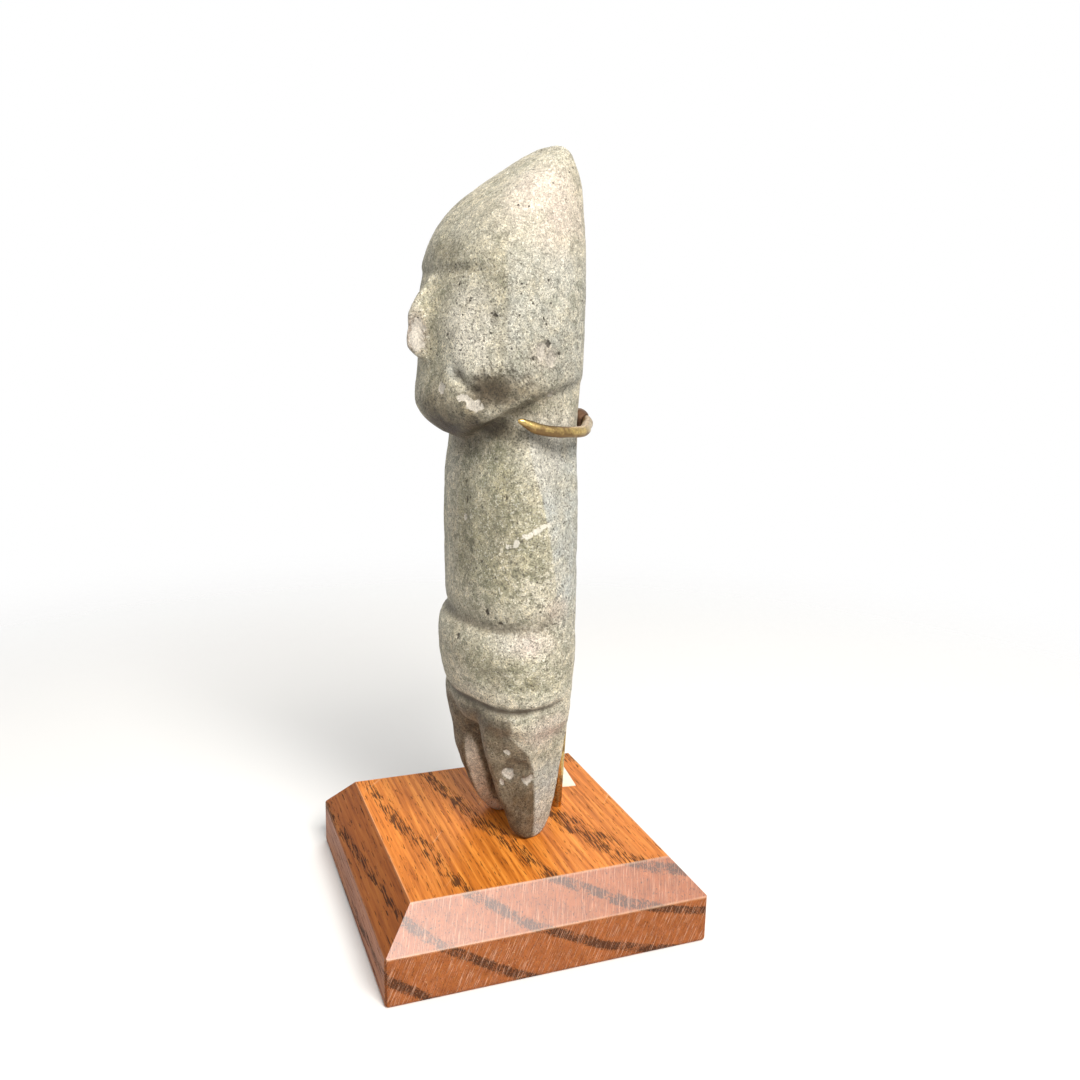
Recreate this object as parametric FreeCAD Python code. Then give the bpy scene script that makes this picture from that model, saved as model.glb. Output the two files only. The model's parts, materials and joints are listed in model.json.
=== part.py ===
"""Carved stone celt figure on an oak block, held by a brass museum mount.

Units are millimetres.  The part's origin is the centre of the block's underside, +Z is up and
the figure looks towards -Y.  The figure is built in its own frame, whose origin stands on the
block's top below the figure's axis, and is then turned and moved to its place on the block.
"""
import FreeCAD, Part
import math
import os

# ---- driving dimensions -------------------------------------------------------------------
# oak block
block_side = 75.0
block_height = 19.0
bevel_width = 7.0          # how far the bevel comes in from each side
bevel_drop = 7.8           # how far the bevel comes down from the top
block_corner = 0.9         # rounding of the upright and the bottom arrises
# stone figure
figure_height = 157.4
figure_turn = 7.0          # degrees about Z, towards +X
figure_x = 3.0
figure_y = 0.9
head_half_width = 22.0
torso_half_width = 21.0
hip_half_width = 21.5
chin_height = 101.0        # height of the chin's foremost point
jaw_height = 99.5          # height of the jaw line at the figure's axis
jaw_slope = 22.0           # degrees, the jaw line rises towards the back
jaw_spread = 19.0          # degrees, it rises from the chin to both sides
split_height = 27.5        # height of the crotch between the legs
foot_spacing = 15.8        # between the middles of the feet
leg_splay = 0.055          # how far the legs' middles part per millimetre of height
nose_half_width = 3.4
# brass mount
rod_diameter = 2.38        # 3/32 inch rod, used for the upright and the collar
rod_x = -1.4
rod_y = 15.3
rod_lean = 2.3             # degrees, backwards, up to the bend
rod_bend_height = 26.0     # above the block's top
rod_ease = 0.4             # how far the rod still goes back while it straightens
rod_ease_length = 20.0     # length over which it straightens
rod_depth = 13.0           # length held in the block
hole_clearance = 0.03      # radial, filled by the glue
collar_height = 97.8       # centre of the wire above the block's top, at the near arm
collar_rise = 3.6          # the other arm sits this much higher
# label
label_length = 14.0
label_width = 9.0
label_thickness = 0.2
label_inset_x = 12.9       # from the flat top's -X edge to the label's middle
label_inset_y = 9.9        # from the flat top's +Y edge to the label's middle
label_turn = -6.5
# clearance kept between the figure and the mount
stone_clearance = 0.455

wire_radius = rod_diameter / 2.0
top_half = block_side / 2.0 - bevel_width
UP = FreeCAD.Vector(0, 0, 1)


def vec(x, y, z):
    return FreeCAD.Vector(x, y, z)


def place_figure(shape):
    """Turn and move a shape from the figure's frame to the part's frame."""
    placed = shape.copy()
    placed.rotate(vec(0, 0, 0), UP, figure_turn)
    placed.translate(vec(figure_x, figure_y, block_height))
    return placed


def figure_point(x, y, z):
    """A point of the figure's frame, in the part's frame."""
    turn = math.radians(figure_turn)
    return vec(figure_x + x * math.cos(turn) - y * math.sin(turn),
               figure_y + x * math.sin(turn) + y * math.cos(turn),
               block_height + z)


def closed_curve(points):
    curve = Part.BSplineCurve()
    curve.interpolate(points, PeriodicFlag=True)
    return Part.Wire([curve.toShape()])


def section(z, half_width, front, back, edge, x=0.0):
    """One outline of the celt: a blunt keel in front, widest at y = edge, flatter behind."""
    front_y, back_y = -front, back
    side = [
        (0.50 * half_width, front_y + 0.16 * (edge - front_y)),
        (0.88 * half_width, front_y + 0.58 * (edge - front_y)),
        (half_width, edge),
        (0.95 * half_width, edge + 0.42 * (back_y - edge)),
        (0.76 * half_width, edge + 0.80 * (back_y - edge)),
        (0.40 * half_width, edge + 0.97 * (back_y - edge)),
    ]
    right = [vec(x + a, b, z) for a, b in side]
    left = [vec(x - a, b, z) for a, b in reversed(side)]
    return closed_curve([vec(x, front_y, z)] + right + [vec(x, back_y, z)] + left)


def loft(rows):
    return Part.makeLoft([section(*row) for row in rows], True, False)


# ---- stone figure -------------------------------------------------------------------------
def head_level(share):
    """Height of a level of the head, from 0 at the chin to 1 at the top of the cap."""
    return chin_height + share * (figure_height - chin_height)


def head():
    """Axe-shaped head: steep keeled face below the brow, sloping cap above it."""
    w = head_half_width
    rows = [
        (chin_height - 9.5, 0.82 * w, 8.5, 10.5, -6.5),
        (chin_height - 6.5, 0.86 * w, 12.6, 10.8, -7.5),
        (chin_height - 3.0, 0.91 * w, 19.0, 11.1, -8.5),
        (head_level(0.018), 0.95 * w, 22.0, 11.4, -9.5),
        (head_level(0.142), 0.98 * w, 21.4, 11.5, -10.0),
        (head_level(0.319), 1.00 * w, 21.8, 11.6, -10.0),
        (head_level(0.496), 0.98 * w, 20.6, 11.7, -9.5),
        (head_level(0.638), 0.93 * w, 18.2, 11.6, -8.0),
        (head_level(0.745), 0.86 * w, 14.2, 11.3, -5.5),
        (head_level(0.833), 0.77 * w, 8.2, 10.8, -2.0),
        (head_level(0.913), 0.66 * w, 1.6, 9.1, 2.2),
        (head_level(0.970), 0.48 * w, -3.6, 7.4, 5.0),
        (head_level(1.0), 0.15 * w, -5.4, 6.4, 5.9),
    ]
    solid = loft(rows)
    reach = 80.0
    for side in (-1, 1):
        below = Part.makeBox(reach, reach, reach, vec(-reach / 2, -reach / 2, -reach))
        below.rotate(vec(0, 0, 0), vec(0, 1, 0), side * jaw_spread)
        below.rotate(vec(0, 0, 0), vec(1, 0, 0), jaw_slope)
        below.translate(vec(0, 0, jaw_height))
        solid = solid.cut(below)
    return solid


def nose():
    """Small wedge standing off the middle of the face."""
    root = 15.0

    def outline(share, half, out):
        z = head_level(share)
        return Part.makePolygon([vec(-half, -root, z), vec(half, -root, z),
                                 vec(0.35 * half, -out, z), vec(-0.35 * half, -out, z),
                                 vec(-half, -root, z)])
    rows = [outline(0.188, 0.9 * nose_half_width, 22.2),
            outline(0.241, nose_half_width, 25.4),
            outline(0.363, 0.8 * nose_half_width, 24.7),
            outline(0.514, 0.45 * nose_half_width, 21.2)]
    return Part.makeLoft(rows, True, True)


def torso_rows():
    w = torso_half_width
    return [
        (50.0, 0.98 * w, 13.6, 10.6, -3.5),
        (58.0, 1.00 * w, 14.2, 10.7, -4.0),
        (72.0, 1.00 * w, 14.0, 10.8, -4.5),
        (86.0, 0.97 * w, 14.0, 10.9, -5.0),
        (92.5, 0.93 * w, 12.8, 10.9, -6.0),
        (97.5, 0.90 * w, 12.0, 11.1, -6.5),
        (jaw_height + 11.0, 0.90 * w, 11.0, 11.6, -6.5),
    ]


def torso():
    """Neck and trunk, from the jaw down into the hip band."""
    return loft(torso_rows())


def torso_width_at(z):
    """The torso's half width at a height, straight between its outlines."""
    rows = torso_rows()
    for below, above in zip(rows, rows[1:]):
        if z <= above[0]:
            share = (z - below[0]) / (above[0] - below[0])
            return below[1] + share * (above[1] - below[1])
    return rows[-1][1]


def hip_band():
    """Raised band around the hips, with rolled upper and lower edges."""
    w = hip_half_width
    rows = [
        (34.2, 0.90 * w, 12.4, 9.4, -3.0),
        (36.4, 0.96 * w, 14.0, 10.0, -3.5),
        (41.0, 1.00 * w, 15.4, 10.3, -4.0),
        (47.0, 1.02 * w, 16.5, 10.5, -4.0),
        (52.5, 1.00 * w, 15.6, 10.5, -4.0),
        (56.0, 0.95 * w, 13.0, 10.2, -3.5),
    ]
    return loft(rows)


def pelvis():
    """What joins the legs above the split."""
    w = hip_half_width
    rows = [
        (split_height - 1.0, 3.0, 8.0, 6.0, 0.0),
        (split_height + 2.0, 9.0, 12.0, 9.0, -1.5),
        (split_height + 6.5, 0.86 * w, 13.6, 9.8, -2.5),
        (split_height + 12.5, 0.93 * w, 14.0, 10.2, -3.0),
    ]
    return loft(rows)


def leg(side):
    """One tapering leg that ends in a small blunt foot; side is 1 or -1."""
    rows = [
        (0.0, 2.0, 0.8, 3.6),
        (1.0, 3.0, 2.1, 4.9),
        (2.5, 3.8, 3.1, 5.8),
        (6.0, 4.7, 4.5, 6.7),
        (11.0, 5.7, 6.7, 7.4),
        (18.0, 7.2, 9.0, 7.9),
        (24.0, 8.3, 10.8, 8.2),
        (30.0, 9.2, 11.9, 8.4),
        (40.0, 10.2, 12.0, 8.8),
    ]
    outlines = []
    for z, half_width, front, back in rows:
        x = side * (foot_spacing / 2.0 + leg_splay * z)
        edge = 0.5 * (back - front) - 0.12 * (front + back)
        outlines.append(section(z, half_width, front, back, edge, x))
    return Part.makeLoft(outlines, True, False)


def stone_figure():
    solid = leg(1)
    for mass in (pelvis(), leg(-1), hip_band(), torso(), head(), nose()):
        solid = solid.fuse(mass)
    return place_figure(solid)


# ---- oak block ----------------------------------------------------------------------------
def square_outline(half, z):
    return Part.makePolygon([vec(-half, -half, z), vec(half, -half, z), vec(half, half, z),
                             vec(-half, half, z), vec(-half, -half, z)])


def rod_hole():
    """The drilled hole follows the leaning rod down into the block."""
    foot = rod_point(-rod_depth)
    direction = rod_point(0.0) - foot
    length = rod_depth + 5.0
    return Part.makeCylinder(wire_radius + hole_clearance, length, foot, direction)


def wood_base():
    half = block_side / 2.0
    side_height = block_height - bevel_drop
    lower = Part.makeBox(block_side, block_side, side_height, vec(-half, -half, 0))
    upper = Part.makeLoft([square_outline(half, side_height),
                           square_outline(top_half, block_height)], True, True)
    block = lower.fuse(upper).removeSplitter()
    arrises = [edge for edge in block.Edges if edge.BoundBox.ZMax < side_height + 0.01
               and not (edge.BoundBox.ZMin > side_height - 0.01)]
    block = block.makeFillet(block_corner, arrises)
    return block.cut(rod_hole())


# ---- brass mount --------------------------------------------------------------------------
def rod_point(height):
    """Centre of the leaning part of the rod, at a height over the block's top."""
    back = math.tan(math.radians(rod_lean))
    return vec(rod_x, rod_y + height * back, block_height + height)


def swept_wire(points):
    """Round wire along a smooth curve through the points, with rounded ends."""
    curve = Part.BSplineCurve()
    curve.interpolate(points)
    path = Part.Wire([curve.toShape()])
    start = curve.value(curve.FirstParameter)
    direction = curve.tangent(curve.FirstParameter)[0]
    profile = Part.Wire([Part.makeCircle(wire_radius, start, direction)])
    return path.makePipeShell([profile], True, False)


def rod_top():
    """Top of the upright, level with the collar wire that it carries."""
    bend = rod_point(rod_bend_height)
    return vec(bend.x, bend.y + rod_ease, block_height + collar_height + 0.6)


def upright_rod():
    bend = rod_point(rod_bend_height)
    top = rod_top()
    straight_from = bend.z + rod_ease_length
    points = [rod_point(-rod_depth), rod_point(-rod_depth / 2), rod_point(0.0),
              rod_point(rod_bend_height / 2), bend, vec(top.x, top.y, straight_from),
              vec(top.x, top.y, (straight_from + top.z) / 2), top]
    return swept_wire(points)


def collar_points():
    """Centre line of the collar, from the near arm's tip around the back to the far arm's tip."""
    turn = math.radians(figure_turn)
    top = rod_top()
    dx, dy = top.x - figure_x, top.y - figure_y
    rod_local_x = dx * math.cos(turn) + dy * math.sin(turn)
    rod_local_y = -dx * math.sin(turn) + dy * math.cos(turn)
    side = torso_width_at(collar_height) + wire_radius + stone_clearance
    behind = rod_local_y + rod_diameter
    z = collar_height
    local = [
        (side + 0.1, -8.6, z + 2.4),
        (side + 0.3, -5.4, z + 0.8),
        (side, 1.0, z - 0.1),
        (0.86 * side, 7.2, z - 0.4),
        (0.52 * side, behind - 6.4, z - 0.2),
        (rod_local_x + 1.6, behind - 0.1, z + 0.3),
        (rod_local_x - 1.4, behind + 0.1, z + 0.9),
        (-0.54 * side, behind - 3.4, z + 2.9),
        (-0.84 * side, 8.6, z + collar_rise),
        (-side, 1.0, z + collar_rise),
        (-side - 0.3, -5.4, z + collar_rise),
        (-side - 0.1, -8.6, z + collar_rise + 0.3),
    ]
    return [figure_point(*point) for point in local]


def neck_collar():
    points = collar_points()
    wire = swept_wire(points)
    ends = [Part.makeSphere(wire_radius, points[0]), Part.makeSphere(wire_radius, points[-1])]
    return wire.fuse(ends)


def solder_joint(rod, collar):
    """Rough braze that fills the corner between the rod's top and the collar."""
    top = rod_top()
    centre = vec(top.x, top.y + rod_diameter * 0.55, top.z - 0.2)
    blob = Part.makeSphere(1.0)
    scale = FreeCAD.Matrix()
    scale.scale(1.34 * rod_diameter, 1.05 * rod_diameter, 1.01 * rod_diameter)
    blob = blob.transformGeometry(scale)
    blob.translate(centre)
    front = top.y - wire_radius
    keep = Part.makeBox(20, 20, 20, vec(centre.x - 10, front + 0.2, centre.z - 10))
    return blob.common(keep).cut([rod, collar])


# ---- label --------------------------------------------------------------------------------
def paper_label():
    label = Part.makeBox(label_length, label_width, label_thickness,
                         vec(-label_length / 2, -label_width / 2, 0))
    label.rotate(vec(0, 0, 0), UP, label_turn)
    label.translate(vec(label_inset_x - top_half, top_half - label_inset_y, block_height))
    return label


# ---- output -------------------------------------------------------------------------------
def main():
    os.makedirs("parts", exist_ok=True)
    rod = upright_rod()
    collar = neck_collar()
    pieces = {
        "wood_base": wood_base(),
        "stone_figure": stone_figure(),
        "upright_rod": rod,
        "neck_collar": collar,
        "solder_joint": solder_joint(rod, collar),
        "paper_label": paper_label(),
    }
    for name, shape in pieces.items():
        print(name, "solids", len(shape.Solids), "valid", shape.isValid(),
              "volume", round(shape.Volume, 1))
        shape.exportStep("parts/" + name + ".step")


main()
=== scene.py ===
"""Looks of the mounted stone figure: worn stone, varnished oak, aged brass, in a soft studio.

Lengths are metres. The figure is sculpted in its own frame, in millimetres: x to the figure's
left, y backwards, z up from the block's top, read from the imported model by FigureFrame.
"""

import json
import math

import bpy
import numpy as np
from mathutils import Matrix, Vector, noise


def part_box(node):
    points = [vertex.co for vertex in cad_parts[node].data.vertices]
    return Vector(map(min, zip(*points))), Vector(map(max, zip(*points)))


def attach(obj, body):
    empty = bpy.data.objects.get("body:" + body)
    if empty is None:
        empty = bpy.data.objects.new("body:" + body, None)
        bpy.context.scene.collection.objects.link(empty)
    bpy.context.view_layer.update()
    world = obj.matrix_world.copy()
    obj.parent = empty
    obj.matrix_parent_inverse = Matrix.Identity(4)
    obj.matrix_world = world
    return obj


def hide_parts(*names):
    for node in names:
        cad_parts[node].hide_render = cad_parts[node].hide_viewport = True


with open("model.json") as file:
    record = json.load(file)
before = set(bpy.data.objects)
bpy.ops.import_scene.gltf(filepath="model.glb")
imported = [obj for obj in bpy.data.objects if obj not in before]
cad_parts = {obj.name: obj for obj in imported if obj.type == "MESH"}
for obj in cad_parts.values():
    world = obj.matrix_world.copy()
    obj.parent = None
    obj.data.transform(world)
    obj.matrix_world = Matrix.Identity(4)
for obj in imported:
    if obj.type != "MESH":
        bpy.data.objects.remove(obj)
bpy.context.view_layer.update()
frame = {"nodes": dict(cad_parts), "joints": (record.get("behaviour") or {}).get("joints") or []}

MM = 0.001

# ---- camera and studio --------------------------------------------------------------------
CAMERA_PLACE = Vector((0.2212, -0.0765, 0.1385))
CAMERA_AZIMUTH = 68.95
CAMERA_PITCH = 11.88
CAMERA_ROLL = 1.30
CAMERA_LENS, CAMERA_FILM = 34.05, 36.0
CAMERA_NEAREST = 0.01
FLOOR_SIZE = 3.0
FLOOR_COLOUR = (0.80, 0.80, 0.79)
FLOOR_FADE = (0.14, 0.42)    # the floor melts into the white surround between these radii
LAMPS_AIM = Vector((0, 0, 0.09))
# name, azimuth, elevation, distance, size, power, colour
LAMPS = [
    ("key", 93, 44, 0.9, 0.50, 13.8, (1.0, 0.97, 0.93)),
    ("front_fill", 10, 35, 1.0, 0.7, 1.5, (0.97, 0.98, 1.0)),
    ("back_fill", 240, 40, 1.0, 0.6, 3.0, (1.0, 0.98, 0.95)),
]
# colour and strength of the surround where it is seen, and where it lights
SURROUND_SEEN = ((1, 1, 1), 1.0)
SURROUND_LIT = ((0.96, 0.97, 1.0), 0.20)

# ---- stone; plain numbers are millimetres in the figure's frame ----------------------------
STONE_VOXEL = 0.50 * MM
BACK_REACH = 11.9            # how far the back of the head lies behind the figure's axis
JAW_HEIGHT, JAW_SPREAD, JAW_SLOPE = 99.5, 0.371, 0.404
LEG_TOP = 34.0
JAW_ROUNDING = 2.4           # how far from the jaw's edge the stone is worn round
BROW_HEIGHT, BROW_RECESS = 131.6, 0.5
NOSE_FOOT, NOSE_SPAN = 4.0, (106, 129)    # the nose's half width, and its lowest and highest point
BEND_GAIN = 18.0             # how strongly hollows, as painted shade, and ridges, as paler wear, show in the stone's colour
# flats that the mason left: azimuth, elevation, distance from the axis, lowest and highest point
HEAD_FLATS = [(42, 0, 22.4, 103, 131), (-44, 0, 22.3, 103, 131), (97, 1, 22.6, 106, 140),
              (-98, 1, 22.5, 106, 140), (118, 0, 18.5, 104, 140), (-120, 0, 18.3, 104, 140)]
TRUNK_FLATS = [(112, 10, 31.9, 62, 97), (-110, 8, 28.6, 62, 97)]
NEAR_LEG_FLATS = [(46, -14, 8.2, 0, 30), (110, -12, 9.4, 0, 30)]
FAR_LEG_FLATS = [(-41, -16, 8.4, 0, 32), (-105, -13, 10.1, 0, 32)]
# stone that stands out: centre, half sizes, height
FAR_SHIN = [((-9.5, -8.5, 15.5), (4.5, 4.5, 7.0), 1.1), ((-9.0, -6.5, 7.5), (4.5, 4.5, 6.0), 0.99)]
NOSE_RIDGE = [((0, -23, 122.5), (4.5, 4, 4.5), 0.9), ((0, -25, 115), (3.5, 4, 4), 0.5)]
# uneven skin: size of the bumps, height, seed, octaves
UNEVEN = [(22.0, 0.30, 1, 3), (6.5, 0.14, 2, 3), (2.0, 0.05, 3, 2)]
# path, width, depth, share of the length over which each end fades, painted shade that lies in it
GROOVES = [
    ([(-21, 0, 55.5), (-19, -8, 55.0), (-12, -13, 54.5), (0, -14.6, 54.2), (10, -13, 54.3),
      (15.3, -10.6, 54.6), (19, -7.6, 55.2), (21, -2.6, 55.7), (19.8, 3, 55.3)], 1.5, 0.8, 0.1, 0.8),
    ([(-18, 6, 37), (-21, -3, 36.5), (-18, -8, 36), (-9.7, -12.2, 34.5), (0.9, -13.6, 35.2),
      (7.3, -12.9, 35.3), (14.1, -11, 35.4), (18.1, -8, 35.7), (20.8, -3.2, 36.4),
      (19.8, 2.3, 37.2), (17.5, 6, 37.8)], 0.9, 0.9, 0.1, 1.7),
    ([(-16, -16, 130.4), (-10, -19, 130.8), (0, -20.6, 131.4), (7, -19.5, 130.6),
      (13.5, -17.8, 130.1), (17.6, -15, 130.4)], 1.4, 0.28, 0.25, 0.3),
    ([(9.0, -20.1, 110.8), (11.4, -19.5, 108.8), (13.4, -18.8, 107.2), (15.2, -17.9, 105.4),
      (16.0, -17.3, 104.0)], 1.3, 1.6, 0.2, 0.0),
]
# old, worn flakes: centre, half sizes, depth, how dark they have gone
FLAKES = [
    ((18.9, -13.0, 106.8), (6.8, 7.6, 4.2), 0.7, 0.85),
    ((16.0, -12.8, 43.0), (5.0, 4.0, 3.0), 0.25, 0.2),
    ((13.0, -10.0, 29.0), (3.0, 3.0, 2.5), 0.30, 0.0),
    ((14.8, -5.5, 20.6), (3.4, 3.6, 2.0), 0.50, 0.0),
]
# fresh chips: centre, half sizes, depth
CHIPS = [
    ((1.8, -24.4, 116.6), (1.8, 2.4, 5.2), 0.50),
    ((15.4, -17.8, 103.4), (3.0, 2.4, 1.5), 0.55),
    ((13.5, -18.9, 104.8), (1.9, 1.9, 1.2), 0.40),
    ((6.9, -21.0, 106.2), (1.3, 1.3, 1.4), 0.35),
    ((21.6, -4.6, 114.4), (1.9, 1.5, 2.3), 0.90),
    ((21.2, -2.2, 112.6), (1.9, 1.8, 1.9), 0.90),
    ((18.6, -1.3, 105.6), (1.2, 1.2, 0.8), 0.40),
    ((14.0, -8.2, 24.2), (0.9, 0.9, 1.1), 0.35),
    ((13.0, -7.0, 18.6), (1.8, 1.6, 1.8), 0.60),
    ((14.6, -2.2, 17.4), (2.3, 2.1, 1.5), 0.65),
    ((12.0, -8.4, 15.6), (0.8, 0.8, 1.1), 0.35),
    ((-5.4, -2.1, 2.2), (2.0, 2.4, 2.0), 0.12),
    ((3.8, -13.8, 77.6), (0.9, 0.9, 1.0), 0.25),
    ((20.2, -6.3, 52.8), (1.0, 1.0, 0.8), 0.25),
]
PORE_DEPTH = 0.45
FLAKE_SEED, CHIP_SEED, PORE_SEED = 20, 0, 50
# pores: centre, radius
PORES = [
    ((19.1, -15.2, 121.2), 0.40), ((21.7, -4.0, 120.9), 0.40),
    ((14.4, -18.3, 124.1), 0.34), ((11.9, -12.1, 57.9), 0.56), ((15.3, -10.6, 55.6), 0.43),
    ((4.4, -15.8, 50.7), 0.62), ((3.8, -13.6, 85.9), 0.43), ((4.8, -13.7, 81.6), 0.43),
    ((11.0, -19.6, 127.6), 0.37), ((9.0, -20.6, 117.0), 0.37), ((20.6, -3.4, 128.5), 0.37),
    ((10.0, -12.6, 69.0), 0.37), ((16.6, -9.8, 84.0), 0.37), ((13.0, -11.6, 92.0), 0.37),
    ((21.4, -3.2, 115.8), 0.62), ((21.2, -6.6, 112.6), 0.45), ((20.8, -0.2, 113.6), 0.45),
]
# for each tint: centre, half sizes, strength; calm stone has fewer dark flecks; several tints carry
# painted light and shade, as noted at each
TINT_SPOTS = {
    # painted shade under the chin and jaw and on the neck below them, at the brow, on the lower cheek,
    # in the waist, under the hem and on the trunk's front; the hip spots darken the stone itself
    "shade": [((13, -13, 98.4), (8, 7, 2.8), 1.0), ((4, -18, 98.4), (11, 8, 4.6), 1.0),
              ((5, -20.5, 102), (12, 6, 4.6), 1.0), ((4, -22, 106), (7, 6, 4), 0.5),
              ((20, -9, 105), (5, 10, 3.6), 0.8),
              ((21, -3, 109.5), (5, 11, 6.0), 0.35), ((0, -14, 93.6), (11, 5, 3.6), 0.7),
              ((16.6, -15.4, 105.4), (4.4, 5, 3.4), 0.9),
              ((12, -17.6, 101.4), (8, 7, 4.2), 0.9), ((18, -9, 102.4), (5, 8, 3.0), 0.7),
              ((17, -8, 96.4), (6, 6, 2.4), 0.5), ((4, -20.5, 134.5), (10, 4, 3.6), 0.55),
              ((2, -14, 72), (6, 5, 24), 0.4), ((10, -12.5, 32.5), (10, 5, 2.5), 0.7),
              ((4, -14, 57.5), (14, 5, 2.2), 0.5), ((19, -4, 57.6), (4, 8, 1.6), 0.3),
              ((20.4, -4.6, 43.4), (2.2, 2.2, 1.9), 0.45), ((6, -15, 47), (9, 5, 4), 0.3),
              ((-20, -8, 104), (6, 9, 4), 0.6)],
    # deeper painted shade under the chin and jaw, under the hem, on the far leg and at the near foot;
    # one spot deepens the dark old flake on the jaw
    "brown_shade": [((10, -5, 1.5), (5, 6, 4), 0.9), ((3, -18, 96.6), (12, 8, 4.4), 1.0),
              ((12, -13.5, 98.0), (7, 7, 2.6), 0.9), ((17.6, -14.4, 106), (5, 6, 3.2), 0.9),
              ((3, -13, 31), (12, 6, 4.4), 0.8), ((-6, -12, 26), (6, 6, 8), 0.8)],
    # on the fronts of the trunk and the brow the olive darkening is painted shade; on the hip it is
    # the stone's own tone
    "olive": [((15, -11, 88), (6, 5.5, 11), 1.0), ((6, -18, 137), (12, 6, 5), 0.7),
              ((17, -6, 47), (5, 5, 3.0), 0.9), ((14, -11, 68), (8, 6, 8), 0.9),
              ((18, -3, 43), (5, 8, 4.0), 1.0), ((-15, -10, 80), (7, 7, 16), 0.7),
              ((12, -13, 46), (7, 5, 5), 0.8), ((20.4, -4.6, 43.6), (3.6, 3.6, 2.6), 1.0)],
    # on the lit near side of the trunk and of the head the cooler, paler tint is painted light; the
    # other spots are the stone's own bluish grey
    "cool": [((19, 5, 66), (4, 6, 14), 0.7), ((17, 4, 112), (5, 6, 8), 0.6),
             ((10.6, -19.8, 109.6), (2.6, 2, 2.0), 1.0), ((-18, 3, 90), (5, 6, 24), 0.5),
             ((13.0, -7.0, 18.6), (2.0, 2.0, 2.0), 1.0)],
    # the spots on the neck above and below the collar are painted light; the others are paler stone
    "pale": [((18, -4, 142), (9, 10, 13), 0.6), ((19, -8, 51.8), (6, 8, 2.4), 1.0),
             ((-5.4, -2, 2.2), (4, 5, 3.4), 1.0), ((17, 0, 32), (4, 5, 3), 0.7),
             ((18, 1, 99.5), (5, 8, 3.0), 1.0), ((18.5, -1, 93), (5, 7, 9), 0.8),
             ((12, -14, 139), (9, 8, 7), 0.4), ((-14, -8, 135), (9, 8, 9), 0.4),
             ((14, -17, 118), (8, 6, 10), 1.0), ((9, -19, 140), (9, 7, 6), 0.5),
             ((16, -8, 150), (9, 8, 6), 0.6)],
    "pink": [((17, -1, 143), (9, 9, 9), 0.7), ((20.3, -5, 52), (3, 5, 3), 0.7),
             ((20.5, 0.5, 59), (3, 4, 3), 0.6), ((1, -25, 117), (3, 3, 5), 1.0),
             ((17, 1, 30), (4, 6, 5), 0.9), ((17, -2, 143), (10, 9, 9), 0.45),
             ((21.5, -4.2, 113.4), (2, 3.2, 2.4), 0.6)],
    "calm": [((16, -3, 144), (14, 13, 14), 1.0), ((18, -2, 128), (8, 9, 9), 0.4)],
    "cream": [((20.3, -3, 64), (4, 6, 4.5), 1.0), ((20.3, -2, 55), (4, 7, 3.5), 0.9),
              ((21.5, -4.0, 113.4), (2, 3.4, 2.6), 1.0), ((18, 0, 128), (6, 8, 16), 0.3),
              ((14, -11, 74), (4, 4, 3), 0.4), ((18, -1, 44), (5, 8, 6), 0.5),
              ((14.6, -3, 22), (3, 4, 5), 0.5)],
}
# edges between two tints of the stone: height, and y (x for the far leg) there
NEAR_LEG_RIDGE = [(0, 1.8), (4.3, 1.5), (12, 0.5), (19, -0.9), (24.3, -3.2), (28.8, -7.3),
                  (35.1, -8.8)]
FAR_STRIP_FRONT = [(0, -7.3), (6, -7.5), (12.4, -7.1), (20.5, -5.8), (25, -5.0)]
FAR_STRIP_BACK = [(0, -4.6), (6.4, -4.6), (12.4, -3.9), (20.5, -3.7), (25, -4.2)]
TRUNK_RIDGE = [(62, 0.6), (77, -1.9), (83.6, -3.2), (90, -5.1), (96, -6.2), (102, -7.4)]
SCAR = [(16.9, -9.8, 73), (18.2, -8.6, 73.6), (19, -8, 75.2), (20.2, -6.3, 76), (21, -3.2, 77.8),
        (20.4, 0.3, 78.6)]

SCAR_WIDTH = 0.9
# colours at values of the broad drift and of the patches
STONE_GROUND = [(0.32, (0.49, 0.445, 0.325)), (0.5, (0.60, 0.55, 0.42)), (0.68, (0.70, 0.65, 0.52))]
STONE_PATCHES = [(0.38, (0.70, 0.72, 0.66)), (0.5, (1.04, 1.04, 1.03)), (0.63, (1.32, 1.29, 1.22))]
# tint: strength, colour, blend, least cover inside a spot; the last two darken the stone, mostly as
# painted shade
TINTS = {
    "olive": (0.9, (0.64, 0.655, 0.54), "MULTIPLY", 0.45),
    "cool": (0.85, (0.60, 0.625, 0.595), "MIX", 0.45),
    "pale": (0.9, (0.80, 0.75, 0.64), "MIX", 0.45),
    "pink": (0.75, (0.80, 0.62, 0.53), "MIX", 0.45),
    "shade": (1.0, (0.33, 0.295, 0.235), "MULTIPLY", 0.75),
    "brown_shade": (1.0, (0.22, 0.165, 0.11), "MULTIPLY", 0.8),
}
CREAM_FLECK, WORN_STONE = (0.80, 0.73, 0.59), (0.70, 0.66, 0.55)
DARK_CRYSTAL, LIGHT_CRYSTAL, HAIRLINE = (0.12, 0.11, 0.08), (0.90, 0.87, 0.76), (0.13, 0.11, 0.075)
FRESH_STONE, SCAR_STONE = (0.87, 0.80, 0.69), (0.88, 0.83, 0.72)
# painted shade for the grooves and hollows, and the dark bottom of the pits
CREASE_SHADE, PIT_BOTTOM = (0.12, 0.095, 0.065), (0.05, 0.04, 0.03)

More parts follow.
